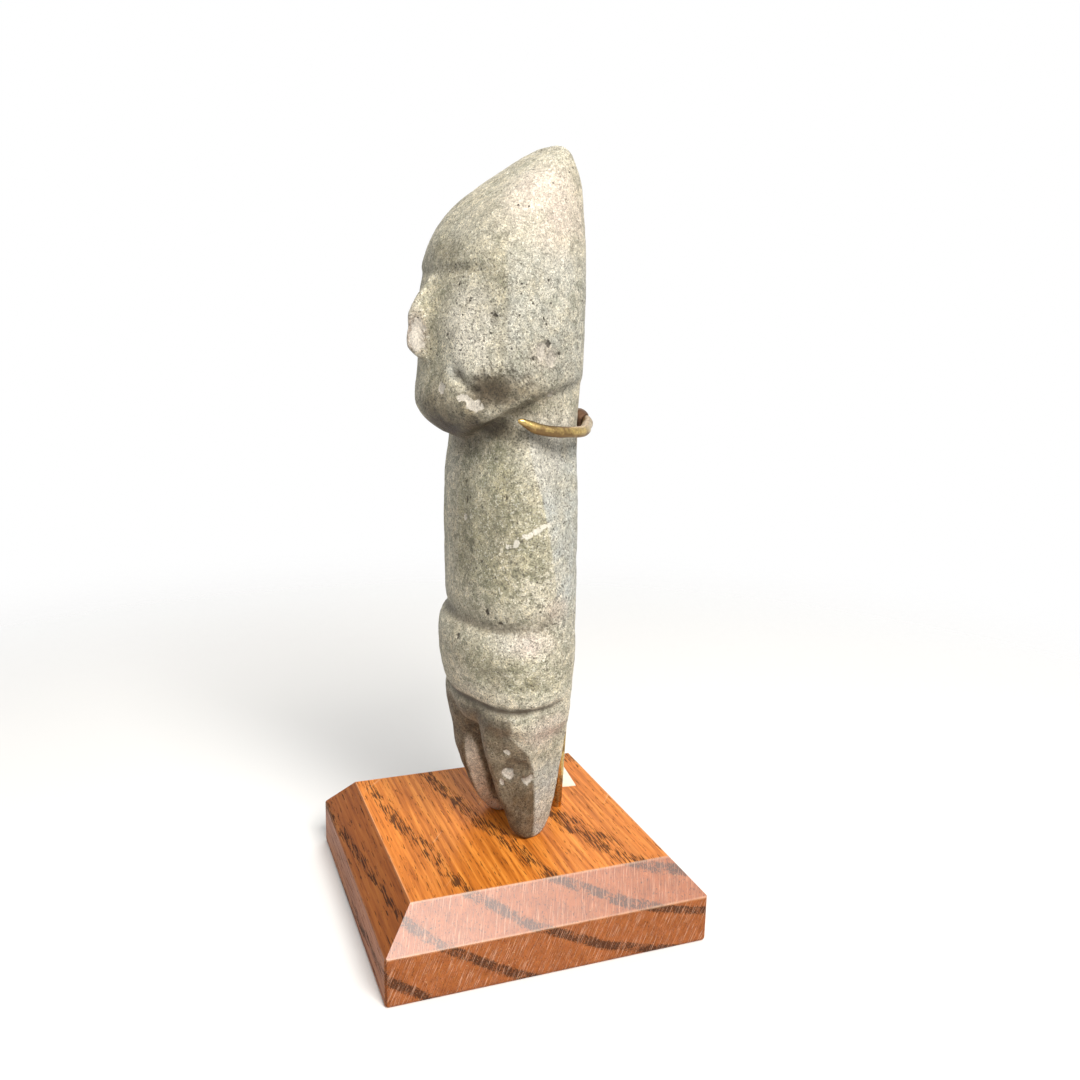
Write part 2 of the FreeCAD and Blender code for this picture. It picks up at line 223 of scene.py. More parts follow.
# ---- brass --------------------------------------------------------------------------------
BRIGHT_BRASS, BROWN_BRASS = (0.60, 0.43, 0.16), (0.20, 0.125, 0.055)
BRIGHT_BRAZE, BROWN_BRAZE = (0.36, 0.22, 0.12), (0.13, 0.075, 0.045)
HEAT_REACH = (5.0 * MM, 9.5 * MM)    # the torch has browned the wire this far around the braze
BRAZE_VOXEL, BRAZE_LUMP, BRAZE_UNEVEN = 0.16 * MM, 1.3 * MM, 0.16 * MM
WIRE_VOXEL, WIRE_WAVE, WIRE_UNEVEN = 0.20 * MM, 2.4 * MM, 0.05 * MM
WIRE_TAPER = 4.5             # length over which the near end is drawn to a point, in millimetres
WIRE_THINNING = 0.50         # share of its thickness that the tip loses

# ---- oak ----------------------------------------------------------------------------------
BEVEL_WIDTH, BEVEL_DROP = 7.0 * MM, 7.8 * MM
ARRIS_EASE = 0.30 * MM
SAW_LEAN = 0.42              # how far the saw marks on the end grain lean over per unit of height
PITH_Y, PITH_DRIFT_Y = 59.7 * MM, 0.032
PITH_Z, PITH_DRIFT_Z = 133.7 * MM, 0.11
RINGS = [163.5 * MM, 152.6 * MM, 141.8 * MM, 131.9 * MM, 124.0 * MM, 115.0 * MM]
# band around each ring: where it starts to rise and is full, is still full and ends
BAND_RISE, BAND_FALL = (-1.3 * MM, -0.5 * MM), (0.6 * MM, 1.6 * MM)
RING_WANDER = 2.6 * MM
OAK_FACE = [(0.30, (0.33, 0.085, 0.010)), (0.5, (0.61, 0.185, 0.024)), (0.70, (0.84, 0.310, 0.050))]
OAK_END = [(0.3, (0.19, 0.054, 0.017)), (0.7, (0.31, 0.098, 0.036))]
PORED_WOOD, OPEN_VESSEL = (0.10, 0.038, 0.016), (0.045, 0.017, 0.008)
SAWN_LIGHT, SAWN_DARK = (0.74, 0.42, 0.28), (0.10, 0.030, 0.012)
SCRATCHED_WOOD, RUBBED_WOOD = (0.85, 0.55, 0.30), (0.80, 0.50, 0.30)
FRONT_SIDE_SHADE = (0.38, 0.32, 0.26)      # painted shade: the front side is painted darker than the rest


def clean_scene_settings():
    scene = bpy.context.scene
    scene.view_settings.view_transform = "Standard"


# ---- camera, light and stage --------------------------------------------------------------
def direction(azimuth, elevation):
    """Unit vector from the object towards a viewer at this azimuth and elevation."""
    a, e = math.radians(azimuth), math.radians(elevation)
    return Vector((math.sin(a) * math.cos(e), -math.cos(a) * math.cos(e), math.sin(e)))


def make_camera():
    camera = bpy.data.objects.new("camera", bpy.data.cameras.new("camera"))
    camera.data.lens = CAMERA_LENS
    camera.data.sensor_width = CAMERA_FILM
    camera.data.clip_start = CAMERA_NEAREST
    back = direction(CAMERA_AZIMUTH, CAMERA_PITCH)
    aim = (-back).to_track_quat("-Z", "Y").to_matrix().to_4x4()
    roll = Matrix.Rotation(math.radians(CAMERA_ROLL), 4, "Z")
    camera.matrix_world = Matrix.Translation(CAMERA_PLACE) @ aim @ roll
    bpy.context.collection.objects.link(camera)
    bpy.context.scene.camera = camera


def area_light(name, azimuth, elevation, distance, size, power, colour):
    data = bpy.data.lights.new(name, "AREA")
    data.shape = "DISK"
    data.size = size
    data.energy = power
    data.color = colour
    light = bpy.data.objects.new(name, data)
    towards = direction(azimuth, elevation)
    light.location = LAMPS_AIM + towards * distance
    light.rotation_mode = "QUATERNION"
    light.rotation_quaternion = (-towards).to_track_quat("-Z", "Y")
    bpy.context.collection.objects.link(light)


def make_lights():
    for lamp in LAMPS:
        area_light(*lamp)


def background(tree, colour, strength):
    node = tree.nodes.new("ShaderNodeBackground")
    node.inputs["Color"].default_value = (*colour, 1)
    node.inputs["Strength"].default_value = strength
    return node.outputs[0]


def make_surround():
    """White where the camera or a mirror image sees it, a dim fill where it lights the object."""
    world = bpy.data.worlds.new("studio")
    bpy.context.scene.world = world
    world.use_nodes = True
    tree = world.node_tree
    tree.nodes.clear()
    out = tree.nodes.new("ShaderNodeOutputWorld")
    shown = background(tree, *SURROUND_SEEN)
    lit = background(tree, *SURROUND_LIT)
    rays = tree.nodes.new("ShaderNodeLightPath")
    mix = tree.nodes.new("ShaderNodeMixShader")
    seen = rays.outputs["Is Camera Ray"]
    for kind in ("Is Glossy Ray", "Is Transmission Ray"):
        either = tree.nodes.new("ShaderNodeMath")
        either.operation = "MAXIMUM"
        tree.links.new(seen, either.inputs[0])
        tree.links.new(rays.outputs[kind], either.inputs[1])
        seen = either.outputs[0]
    tree.links.new(seen, mix.inputs["Fac"])
    tree.links.new(lit, mix.inputs[1])
    tree.links.new(shown, mix.inputs[2])
    tree.links.new(mix.outputs[0], out.inputs["Surface"])


def make_floor():
    mesh = bpy.data.meshes.new("floor")
    half = FLOOR_SIZE / 2
    mesh.from_pydata([(-half, -half, 0), (half, -half, 0), (half, half, 0), (-half, half, 0)],
                     [], [(0, 1, 2, 3)])
    floor = bpy.data.objects.new("floor", mesh)
    bpy.context.collection.objects.link(floor)
    material = bpy.data.materials.new("floor_paper")
    material.use_nodes = True
    tree = material.node_tree
    shader = tree.nodes["Principled BSDF"]
    shader.inputs["Base Color"].default_value = (*FLOOR_COLOUR, 1)
    shader.inputs["Roughness"].default_value = 0.9
    away = tree.nodes.new("ShaderNodeVectorMath")
    away.operation = "LENGTH"
    tree.links.new(tree.nodes.new("ShaderNodeTexCoord").outputs["Object"], away.inputs[0])
    fade = tree.nodes.new("ShaderNodeMapRange")
    fade.interpolation_type = "SMOOTHERSTEP"
    fade.inputs["From Min"].default_value, fade.inputs["From Max"].default_value = FLOOR_FADE
    tree.links.new(away.outputs["Value"], fade.inputs["Value"])
    clear = tree.nodes.new("ShaderNodeBsdfTransparent")
    mix = tree.nodes.new("ShaderNodeMixShader")
    tree.links.new(fade.outputs["Result"], mix.inputs["Fac"])
    tree.links.new(shader.outputs[0], mix.inputs[1])
    tree.links.new(clear.outputs[0], mix.inputs[2])
    tree.links.new(mix.outputs[0], tree.nodes["Material Output"].inputs["Surface"])
    floor.data.materials.append(material)


# ---- node helpers -------------------------------------------------------------------------
class Nodes:
    """Short calls for building one material's node tree."""

    def __init__(self, name):
        self.material = bpy.data.materials.new(name)
        self.material.use_nodes = True
        self.tree = self.material.node_tree
        self.shader = self.tree.nodes["Principled BSDF"]
        self.place = self.new("ShaderNodeTexCoord").outputs["Object"]

    def new(self, kind, **settings):
        node = self.tree.nodes.new(kind)
        for key, value in settings.items():
            setattr(node, key, value)
        return node

    def link(self, source, socket):
        self.tree.links.new(source, socket)

    def put(self, socket, value):
        if isinstance(value, bpy.types.NodeSocket):
            self.link(value, socket)
        else:
            socket.default_value = value

    def math(self, operation, a, b=0.0, clamp=False):
        node = self.new("ShaderNodeMath", operation=operation, use_clamp=clamp)
        self.put(node.inputs[0], a)
        self.put(node.inputs[1], b)
        return node.outputs[0]

    def noise(self, scale, detail=4.0, rough=0.55, place=None, distortion=0.0):
        node = self.new("ShaderNodeTexNoise")
        self.link(place or self.place, node.inputs["Vector"])
        node.inputs["Scale"].default_value = scale
        node.inputs["Detail"].default_value = detail
        node.inputs["Roughness"].default_value = rough
        node.inputs["Distortion"].default_value = distortion
        return node.outputs["Fac"]

    def cells(self, scale, output="Distance"):
        node = self.new("ShaderNodeTexVoronoi")
        self.link(self.place, node.inputs["Vector"])
        node.inputs["Scale"].default_value = scale
        return node.outputs[output]

    def ramp(self, value, stops):
        """Colours or greys at given values, blended straight between them."""
        node = self.new("ShaderNodeValToRGB")
        elements = node.color_ramp.elements
        while len(elements) < len(stops):
            elements.new(0.5)
        for element, (at, colour) in zip(elements, stops):
            element.position = at
            grey = isinstance(colour, (int, float))
            element.color = (colour, colour, colour, 1) if grey else (*colour, 1)
        self.put(node.inputs["Fac"], value)
        return node.outputs["Color"]

    def step(self, value, low, high):
        """0 below low, 1 above high, smooth between; low may be larger than high."""
        node = self.new("ShaderNodeMapRange", interpolation_type="SMOOTHSTEP")
        rising = low < high
        self.put(node.inputs["Value"], value)
        node.inputs["From Min"].default_value = low if rising else high
        node.inputs["From Max"].default_value = high if rising else low
        node.inputs["To Min"].default_value = 0.0 if rising else 1.0
        node.inputs["To Max"].default_value = 1.0 if rising else 0.0
        return node.outputs["Result"]

    def mix(self, factor, a, b, blend="MIX"):
        node = self.new("ShaderNodeMix", data_type="RGBA", blend_type=blend)
        self.put(node.inputs["Factor"], factor)
        colour_a = [s for s in node.inputs if s.identifier == "A_Color"][0]
        colour_b = [s for s in node.inputs if s.identifier == "B_Color"][0]
        self.put(colour_a, a if isinstance(a, bpy.types.NodeSocket) else (*a, 1))
        self.put(colour_b, b if isinstance(b, bpy.types.NodeSocket) else (*b, 1))
        return [s for s in node.outputs if s.identifier == "Result_Color"][0]

    def stretch(self, longer, turn=(0, 0, 0)):
        """Space in which a texture comes out longer by these factors, along turned axes."""
        node = self.new("ShaderNodeMapping", vector_type="TEXTURE")
        self.link(self.place, node.inputs["Vector"])
        node.inputs["Scale"].default_value = longer
        node.inputs["Rotation"].default_value = [math.radians(a) for a in turn]
        return node.outputs["Vector"]

    def attribute(self, name):
        node = self.new("ShaderNodeAttribute", attribute_name=name)
        return node.outputs["Fac"]

    def bump(self, height, distance, strength):
        node = self.new("ShaderNodeBump")
        node.inputs["Strength"].default_value = strength
        node.inputs["Distance"].default_value = distance
        self.link(height, node.inputs["Height"])
        self.link(node.outputs["Normal"], self.shader.inputs["Normal"])


# ---- the figure's own frame ---------------------------------------------------------------
class FigureFrame:
    """Turns points between the part's frame and the figure's own frame in millimetres."""

    def __init__(self, node):
        forward = Vector(frame["joints"][0]["axis"]).normalized()
        self.y = np.array(-forward)
        self.z = np.array((0.0, 0.0, 1.0))
        self.x = np.cross(self.y, self.z)
        points = vertex_places(node.data) / MM
        across, along = points @ self.x, points @ self.y
        middle = (across.min() + across.max()) / 2
        self.origin = (self.x * middle + self.y * (along.max() - BACK_REACH)
                       + self.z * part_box("wood_base")[1][2] / MM)
        self.matrix = np.stack([self.x, self.y, self.z])

    def local(self, points):
        return (points / MM - self.origin) @ self.matrix.T

    def world(self, points):
        return (points @ self.matrix + self.origin) * MM


def vertex_places(mesh):
    flat = np.empty(len(mesh.vertices) * 3)
    mesh.vertices.foreach_get("co", flat)
    return flat.reshape(-1, 3)


def vertex_normals(mesh):
    flat = np.empty(len(mesh.vertices) * 3)
    mesh.vertex_normals.foreach_get("vector", flat)
    return flat.reshape(-1, 3)


def set_places(mesh, points):
    mesh.vertices.foreach_set("co", points.ravel())
    mesh.update()


def store(mesh, name, values):
    """Keep a value per point as an attribute, which the material reads."""
    layer = mesh.attributes.new(name, "FLOAT", "POINT")
    layer.data.foreach_set("value", values.astype(np.float32))


# ---- sculpting tools ----------------------------------------------------------------------
def plain_copy(node, name):
    """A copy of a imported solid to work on, without its materials."""
    piece = node.copy()
    piece.data = node.data.copy()
    piece.name = name
    piece.data.materials.clear()
    bpy.context.collection.objects.link(piece)
    return piece


def apply_modifiers(piece):
    graph = bpy.context.evaluated_depsgraph_get()
    mesh = bpy.data.meshes.new_from_object(piece.evaluated_get(graph))
    piece.modifiers.clear()
    piece.data = mesh


class Sculpt:
    """Vertex moves on a dense mesh, in the figure's frame, in millimetres."""

    def __init__(self, mesh, figure):
        self.mesh = mesh
        self.figure = figure
        edges = np.empty(len(mesh.edges) * 2, dtype=np.int64)
        mesh.edges.foreach_get("vertices", edges)
        self.edges = edges.reshape(-1, 2)
        self.count = len(mesh.vertices)
        self.links = np.bincount(self.edges.ravel(), minlength=self.count).astype(float)
        self.points = figure.local(vertex_places(mesh))
        self.normals = None
        self.refresh()

    def refresh(self):
        """Bring the mesh up to the points, and the normals up to the mesh."""
        set_places(self.mesh, self.figure.world(self.points))
        self.normals = vertex_normals(self.mesh) @ self.figure.matrix.T

    def neighbours(self, values):
        """For each point, the mean of the values at the points next to it."""
        total = np.zeros_like(values)
        a, b = self.edges[:, 0], self.edges[:, 1]
        np.add.at(total, a, values[b])
        np.add.at(total, b, values[a])
        return total / (self.links[:, None] if values.ndim == 2 else self.links)

    def smooth(self, rounds, where=None):
        """Move each point halfway to the middle of its neighbours, round after round."""
        for _ in range(rounds):
            pull = (self.neighbours(self.points) - self.points) * 0.5
            if where is not None:
                pull *= where[:, None]
            self.points += pull
        self.refresh()

    def lift(self, heights):
        """Move each point along its normal by its height in millimetres."""
        self.points += self.normals * heights[:, None]
        self.refresh()

    def facet(self, azimuth, elevation, reach, low, high, fade, where):
        """Dress the stone flat: cut back what stands out past a plane, between two heights."""
        normal = np.array(direction(azimuth, elevation))
        excess = self.points @ normal - reach
        cut = 0.25 * np.logaddexp(0.0, excess / 0.25)
        z = self.points[:, 2]
        mask = between(z, low, high, fade)
        facing = smooth_step(self.normals @ normal, 0.2, 0.6)
        self.points -= normal * (cut * mask * facing * where)[:, None]
        self.refresh()

    def facets(self, flats, fade, where):
        for flat in flats:
            self.facet(*flat, fade, where)

    def distance_to(self, path):
        """Shortest distance from every point to a polyline, and where along it, from 0 to 1."""
        best = np.full(self.count, 1e9)
        along = np.zeros(self.count)
        steps = [np.linalg.norm(np.subtract(b, a)) for a, b in zip(path, path[1:])]
        total, done = sum(steps), 0.0
        for a, b, length in zip(path, path[1:], steps):
            a, b = np.array(a, float), np.array(b, float)
            t = np.clip((self.points - a) @ (b - a) / length ** 2, 0, 1)
            gap = np.linalg.norm(self.points - a - t[:, None] * (b - a), axis=1)
            nearer = gap < best
            best = np.where(nearer, gap, best)
            along = np.where(nearer, (done + t * length) / total, along)
            done += length
        return best, along

    def groove(self, path, width, depth, ends):
        """Cut a soft groove along a path; returns how strongly each point was cut."""
        gap, along = self.distance_to(path)
        fade = smooth_step(along, 0.0, ends) * smooth_step(1 - along, 0.0, ends)
        cut = np.exp(-(gap / width) ** 2) * fade
        self.lift(-depth * cut)
        return cut

    def rough(self, size, height, seed, octaves):
        """Uneven surface: fractal noise with features of about size mm."""
        offset = Vector((seed * 17.3, seed * -9.1, seed * 5.7))
        values = np.array([noise.fractal(Vector(p) / size + offset, 1.0, 2.0, octaves)
                           for p in self.points])
        self.lift(values * height)

    def soft_patches(self, spots):
        """Soft patches, each a centre, half sizes and a strength; returns 0 to 1."""
        total = np.zeros(self.count)
        for centre, size, strength in spots:
            gap = np.linalg.norm((self.points - np.array(centre)) / np.array(size), axis=1)
            total = np.maximum(total, strength * smooth_step(-gap, -1.5, -0.35))
        return total

    def chip(self, centre, size, depth, seed):
        """Break out a shallow, rough-edged flake; returns the broken area as 0 to 1."""
        offset = Vector((seed * 3.1, seed * 7.7, seed * 1.9))
        surface = np.linalg.norm(self.points - np.array(centre), axis=1).argmin()
        scaled = (self.points - self.points[surface]) / np.array(size)
        near = np.linalg.norm(scaled, axis=1)
        area = np.zeros(self.count)
        for index in np.where(near < 1.8)[0]:
            wobble = 0.35 * noise.noise(Vector(self.points[index]) * 0.9 + offset)
            wobble += 0.2 * noise.noise(Vector(self.points[index]) * 2.3 + offset)
            area[index] = near[index] + wobble
        area = np.where(near < 1.8, smooth_step(1.0 - area, -0.05, 0.35), 0.0)
        self.points -= self.normals * (area * depth)[:, None]
        self.refresh()
        return area


def smooth_step(value, low, high):
    """0 below low, 1 above high, smooth between."""
    t = np.clip((value - low) / (high - low), 0, 1)
    return t * t * (3 - 2 * t)


# ---- stone figure -------------------------------------------------------------------------
def remeshed_copy(node, name, voxel):
    piece = plain_copy(node, name)
    remesh = piece.modifiers.new("voxels", "REMESH")
    remesh.mode = "VOXEL"
    remesh.voxel_size = voxel
    remesh.use_smooth_shade = True
    apply_modifiers(piece)
    for polygon in piece.data.polygons:
        polygon.use_smooth = True
    return piece


def dress_planes(tool):
    """The flats of the head above the jaw, of the trunk below it and of both legs."""
    x, y, z = tool.points.T
    tool.facets(HEAD_FLATS, 2.5, where=smooth_step(z - jaw_line(x, y), -0.5, 1.0))
    tool.facets(TRUNK_FLATS, 3.0, where=smooth_step(jaw_line(x, y) - z, -0.5, 1.0))
    legs = smooth_step(-z, -LEG_TOP, 3.0 - LEG_TOP)
    near, far = legs * smooth_step(x, 0.5, 3.0), legs * smooth_step(-x, 0.5, 3.0)
    tool.facets(NEAR_LEG_FLATS, 2.5, where=near)
    tool.facets(FAR_LEG_FLATS, 2.5, where=far)
    tool.lift(tool.soft_patches(FAR_SHIN))


def jaw_line(x, y):
    """Height of the jaw's lower edge: it rises to both sides and towards the back."""
    return JAW_HEIGHT + JAW_SPREAD * np.abs(x) + JAW_SLOPE * y


def cut_grooves(tool):
    """Waist, hem of the hip band, brow and the gouge across the near cheek; returns where each groove
    lays its painted shade.
    """
    groove = np.zeros(tool.count)
    for path, width, depth, ends, crease_shade in GROOVES:
        groove = np.maximum(groove, crease_shade * tool.groove(path, width, depth, ends))
    _, y, z = tool.points.T
    below_brow = smooth_step(-z, -BROW_HEIGHT, 1.4 - BROW_HEIGHT) * smooth_step(z, 117.0, 129.0)
    front = smooth_step(-y, 13.0, 16.5)
    tool.lift(-BROW_RECESS * below_brow * front)
    return groove


def soften_edges(tool):
    """Wear the jaw's lower edge and both feet of the nose round."""
    x, y, z = tool.points.T
    jaw = np.exp(-((z - jaw_line(x, y)) / JAW_ROUNDING) ** 2) * smooth_step(-y, -6.0, 0.0)
    tool.smooth(14, where=jaw)
    foot = np.exp(-((np.abs(x) - NOSE_FOOT) / 2.0) ** 2) * smooth_step(-y, 17.0, 19.0)
    tool.smooth(24, where=foot * between(z, *NOSE_SPAN, 2.0))
    tool.lift(tool.soft_patches(NOSE_RIDGE))


def bending(tool):
    """How hollow the skin is at each point; ridges come out negative."""
    bend = np.einsum("ij,ij->i", tool.neighbours(tool.points) - tool.points, tool.normals)
    for _ in range(4):
        bend = tool.neighbours(bend)
    return bend * BEND_GAIN


def break_chips(tool):
    """Breaks the flakes, chips and pores out; returns where the stone is fresh, pitted and aged."""
    fresh, pits, aged = np.zeros(tool.count), np.zeros(tool.count), np.zeros(tool.count)
    for seed, (centre, size, depth, dark) in enumerate(FLAKES, FLAKE_SEED):
        aged = np.maximum(aged, dark * tool.chip(centre, size, depth, seed))
    for seed, (centre, size, depth) in enumerate(CHIPS, CHIP_SEED):
        fresh = np.maximum(fresh, tool.chip(centre, size, depth, seed))
    for seed, (centre, radius) in enumerate(PORES, PORE_SEED):
        size = (radius, radius, radius * 1.3)
        pits = np.maximum(pits, tool.chip(centre, size, PORE_DEPTH, seed))
    return fresh, pits, aged


def paint(tool, aged):
    """Where the stone has each of its tints, from 0 to 1; painted light and shade of the lit and
    shaded faces are among them.
    """
    x, y, z = tool.points.T
    tints = {kind: tool.soft_patches(spots) for kind, spots in TINT_SPOTS.items()}
    near, far = smooth_step(x, 0.2, 1.0), smooth_step(-x, 0.2, 1.0)

    def add(kind, values):
        tints[kind] = np.maximum(tints[kind], values)

    # the old flakes take the shade tint as their own darkening
    add("shade", aged)
    # painted shade: the front face of the near leg, turned from the key, is painted brown
    leg_front = beside(y, z, NEAR_LEG_RIDGE, -1) * smooth_step(-z, -36.5, -32.0) * near
    add("brown_shade", leg_front * (0.85 + 0.15 * smooth_step(-z, -30.0, -8.0)))
    add("cool", 0.9 * (1 - leg_front) * between(z, -2, 20, 5.0) * near)
    # painted light: the inner strip of the far leg, which the key lights, is painted pale and cream
    # with fewer dark flecks
    inner = (beside(x, z, FAR_STRIP_FRONT, 1) * beside(x, z, FAR_STRIP_BACK, -1)
             * between(z, 0, 22, 2.0) * far)
    add("pale", inner * smooth_step(-y, -2.0, 0.0))
    add("cream", inner * smooth_step(-y, -2.0, 0.0))
    add("calm", inner)
    # painted shadow: the rest of the far leg, which lies in shadow, is painted brown
    add("brown_shade", (1 - inner) * between(z, 4, 33, 2.5) * far * smooth_step(-y, -3.0, 2.0))
    # painted light and shade: the lit strip on the trunk's near side is painted cooler and paler, the
    # front darker olive
    strip = beside(y, z, TRUNK_RIDGE, 1, 0.35) * between(z, 60, 99, 3.0) * near
    add("cool", strip)
    add("olive", 0.8 * (1 - strip) * between(z, 62, 94, 4.0) * near)
    # painted light and shade on the head: its lit side is painted cooler and paler, its face darker
    # olive
    side = smooth_step(y, -12.8, -11.4) * near
    add("cool", 0.55 * side * between(z, 108, 134, 3.0))
    add("olive", 0.45 * (1 - side) * between(z, 106, 134, 3.0) * smooth_step(-y, 9.0, 11.0))
    return tints


def between(value, low, high, fade):
    """1 from low to high, fading to 0 around both."""
    return smooth_step(value, low - fade, low + fade) * smooth_step(-value, -high - fade, -high + fade)


def beside(value, height, ridge, side, soft=0.5):
    """1 on one side of a ridge, which is given as heights and the value at each of them."""
    at = np.interp(height, [p[0] for p in ridge], [p[1] for p in ridge])
    return smooth_step(side * (value - at), -soft, soft)


def carve_figure():
    node = frame["nodes"]["stone_figure"]
    figure = FigureFrame(node)
    piece = remeshed_copy(node, "carved_stone", STONE_VOXEL)
    tool = Sculpt(piece.data, figure)
    tool.smooth(6)
    dress_planes(tool)
    groove = cut_grooves(tool)
    tool.smooth(2)
    soften_edges(tool)
    for skin in UNEVEN:
        tool.rough(*skin)
    fresh, pits, aged = break_chips(tool)
    bend = bending(tool)
    scar, _ = tool.distance_to(SCAR)
    marks = {"groove": groove, "fresh": fresh, "pit": pits, "hollow": np.clip(bend, 0, 1),
             "worn": np.clip(-bend, 0, 1), "scar": np.exp(-(scar / SCAR_WIDTH) ** 2)}
    for name, values in (marks | paint(tool, aged)).items():
        store(piece.data, name, values)
    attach(piece, "figure")
    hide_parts("stone_figure")
    return piece


def stone_ground(n):
    """Olive grey that drifts to a warm pale grey, in patches."""
    broad = n.noise(45.0, 3.0, 0.55)
    patches = n.noise(330.0, 4.0, 0.62, distortion=0.9)
    return n.mix(1.0, n.ramp(broad, STONE_GROUND), n.ramp(patches, STONE_PATCHES), "MULTIPLY")


def tinted(n, colour, clouds, tint):
    """A tint where the sculpting stored it, broken up by the clouds; some tints are painted light and
    shade.
    """
    strength, shade, blend, least = TINTS[tint]
    patchy = n.ramp(clouds, [(0.36, least), (0.60, 1.0)])
    amount = n.math("MULTIPLY", n.math("MULTIPLY", n.attribute(tint), patchy), strength)
    return n.mix(amount, colour, shade, blend)


def flecked(n, colour, mottle):
    """Cream flecks gather where the mottling is high, and worn edges are paler."""
    gather = n.math("ADD", mottle, n.math("MULTIPLY", n.attribute("cream"), 0.17))
    colour = n.mix(n.math("MULTIPLY", n.step(gather, 0.60, 0.70), 0.60), colour, CREAM_FLECK)
    return n.mix(n.math("MULTIPLY", n.attribute("worn"), 0.40), colour, WORN_STONE)


def speckled(n, colour, mottle, pick_dark, pick_light):
    """Salt and pepper crystals and dark hairlines; returns the colour and where it is dark."""
    lively = n.math("SUBTRACT", 1.0, n.math("MULTIPLY", n.attribute("calm"), 0.62))
    dark = n.math("MULTIPLY", n.math("MULTIPLY", n.step(pick_dark, 0.30, 0.04), 0.66), lively)
    colour = n.mix(dark, colour, DARK_CRYSTAL)
    light = n.math("MULTIPLY", n.step(pick_light, 0.66, 1.0), n.step(mottle, 0.40, 0.60))
    colour = n.mix(n.math("MULTIPLY", light, 0.65), colour, LIGHT_CRYSTAL)
    wisps = n.noise(1500.0, 2.0, 0.6, distortion=2.5)
    hair = n.step(n.math("ABSOLUTE", n.math("SUBTRACT", wisps, 0.47)), 0.030, 0.006)
    hair = n.math("MULTIPLY", n.math("MULTIPLY", hair, 0.58), lively)
    return n.mix(hair, colour, HAIRLINE), n.math("ADD", dark, hair)


def broken(n, colour, mottle, grain):
    """Fresh breaks and the scar, ragged at their edges."""
    fresh = n.attribute("fresh")
    ragged = n.math("ADD", fresh, n.math("MULTIPLY", mottle, 1.4))
    ragged = n.math("MULTIPLY", n.step(ragged, 1.10, 1.50), n.step(fresh, 0.03, 0.3))
    inside = n.mix(1.0, FRESH_STONE, n.ramp(grain, [(0.34, 0.62), (0.62, 1.12)]), "MULTIPLY")
    colour = n.mix(n.math("MULTIPLY", ragged, 0.85), colour, inside)
    gaps = n.math("ADD", n.math("MULTIPLY", mottle, 1.9), -0.20)
    scar = n.step(n.math("MULTIPLY", n.attribute("scar"), gaps), 0.44, 0.60)
    return n.mix(n.math("MULTIPLY", scar, 0.9), colour, SCAR_STONE)


def shade_in_hollows(n, colour):
    """Painted shade in the grooves and hollows, and dark open pits; returns the colour and the pits.
    """
    # painted shade: grooves and hollows are darkened where shade falls in them
    crease_shade = n.math("ADD", n.math("MULTIPLY", n.attribute("groove"), 0.42),
                  n.math("MULTIPLY", n.attribute("hollow"), 0.62), clamp=True)
    colour = n.mix(crease_shade, colour, CREASE_SHADE)
    fine = n.math("MULTIPLY", n.step(n.cells(560.0), 0.17, 0.06),
                  n.step(n.noise(110.0, 2.0), 0.50, 0.57))
    pits = n.math("MAXIMUM", fine, n.step(n.attribute("pit"), 0.25, 0.7))
    return n.mix(n.math("MULTIPLY", pits, 0.80), colour, PIT_BOTTOM), pits


def stone_material():
    n = Nodes("grey_green_stone")
    clouds = n.noise(170.0, 5.0, 0.65, distortion=0.6)
    mottle = n.noise(700.0, 5.0, 0.72, distortion=1.2)
    grain = n.noise(3300.0, 3.0, 0.75, distortion=0.6)
    crystals = n.new("ShaderNodeSeparateColor")
    n.link(n.cells(3300.0, output="Color"), crystals.inputs[0])
    pick_dark, pick_light, pick_lift = crystals.outputs

    colour = stone_ground(n)
    # these tints include painted light and shade on the lit and shaded faces of the trunk, head, neck
    # and far leg
    for tint in ("olive", "cool", "pale", "pink"):
        colour = tinted(n, colour, clouds, tint)
    colour = flecked(n, colour, mottle)
    colour, specks = speckled(n, colour, mottle, pick_dark, pick_light)
    for texture, stops in ((grain, [(0.30, 0.46), (0.5, 1.0), (0.70, 1.48)]),
                           (mottle, [(0.34, 0.64), (0.5, 1.0), (0.66, 1.22)])):
        colour = n.mix(1.0, colour, n.ramp(texture, stops), "MULTIPLY")
    # painted shade: these two darken the stone under the chin and jaw, under the hem, on the far leg
    # and on faces turned from the key
    for tint in ("shade", "brown_shade"):
        colour = tinted(n, colour, clouds, tint)
    colour = broken(n, colour, mottle, grain)
    colour, pits = shade_in_hollows(n, colour)
    n.link(colour, n.shader.inputs["Base Color"])

    n.link(n.ramp(grain, [(0.3, 0.68), (0.7, 0.48)]), n.shader.inputs["Roughness"])
    n.shader.inputs["Specular IOR Level"].default_value = 0.4
    height = n.math("ADD", n.math("MULTIPLY", grain, 0.9), n.math("MULTIPLY", pick_lift, 0.35))
    height = n.math("ADD", height, n.math("MULTIPLY", mottle, 1.8))
    height = n.math("SUBTRACT", height, n.math("MULTIPLY", pits, 2.2))
    height = n.math("SUBTRACT", height, n.math("MULTIPLY", specks, 0.4))
    n.bump(height, 0.22 * MM, 1.0)
    return n.material


# ---- oak block ----------------------------------------------------------------------------
def eased_block():
    """The block with its arrises eased by hand, as a copy of the plain one."""
    piece = plain_copy(frame["nodes"]["wood_base"], "oak_block")
    weld = piece.modifiers.new("weld", "WELD")
    weld.merge_threshold = 0.002 * MM
    ease = piece.modifiers.new("ease", "BEVEL")
    ease.width = ARRIS_EASE
    ease.segments = 3
    ease.limit_method = "ANGLE"
    ease.angle_limit = math.radians(25)
    apply_modifiers(piece)
    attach(piece, "stand")
    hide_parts("wood_base")
    return piece


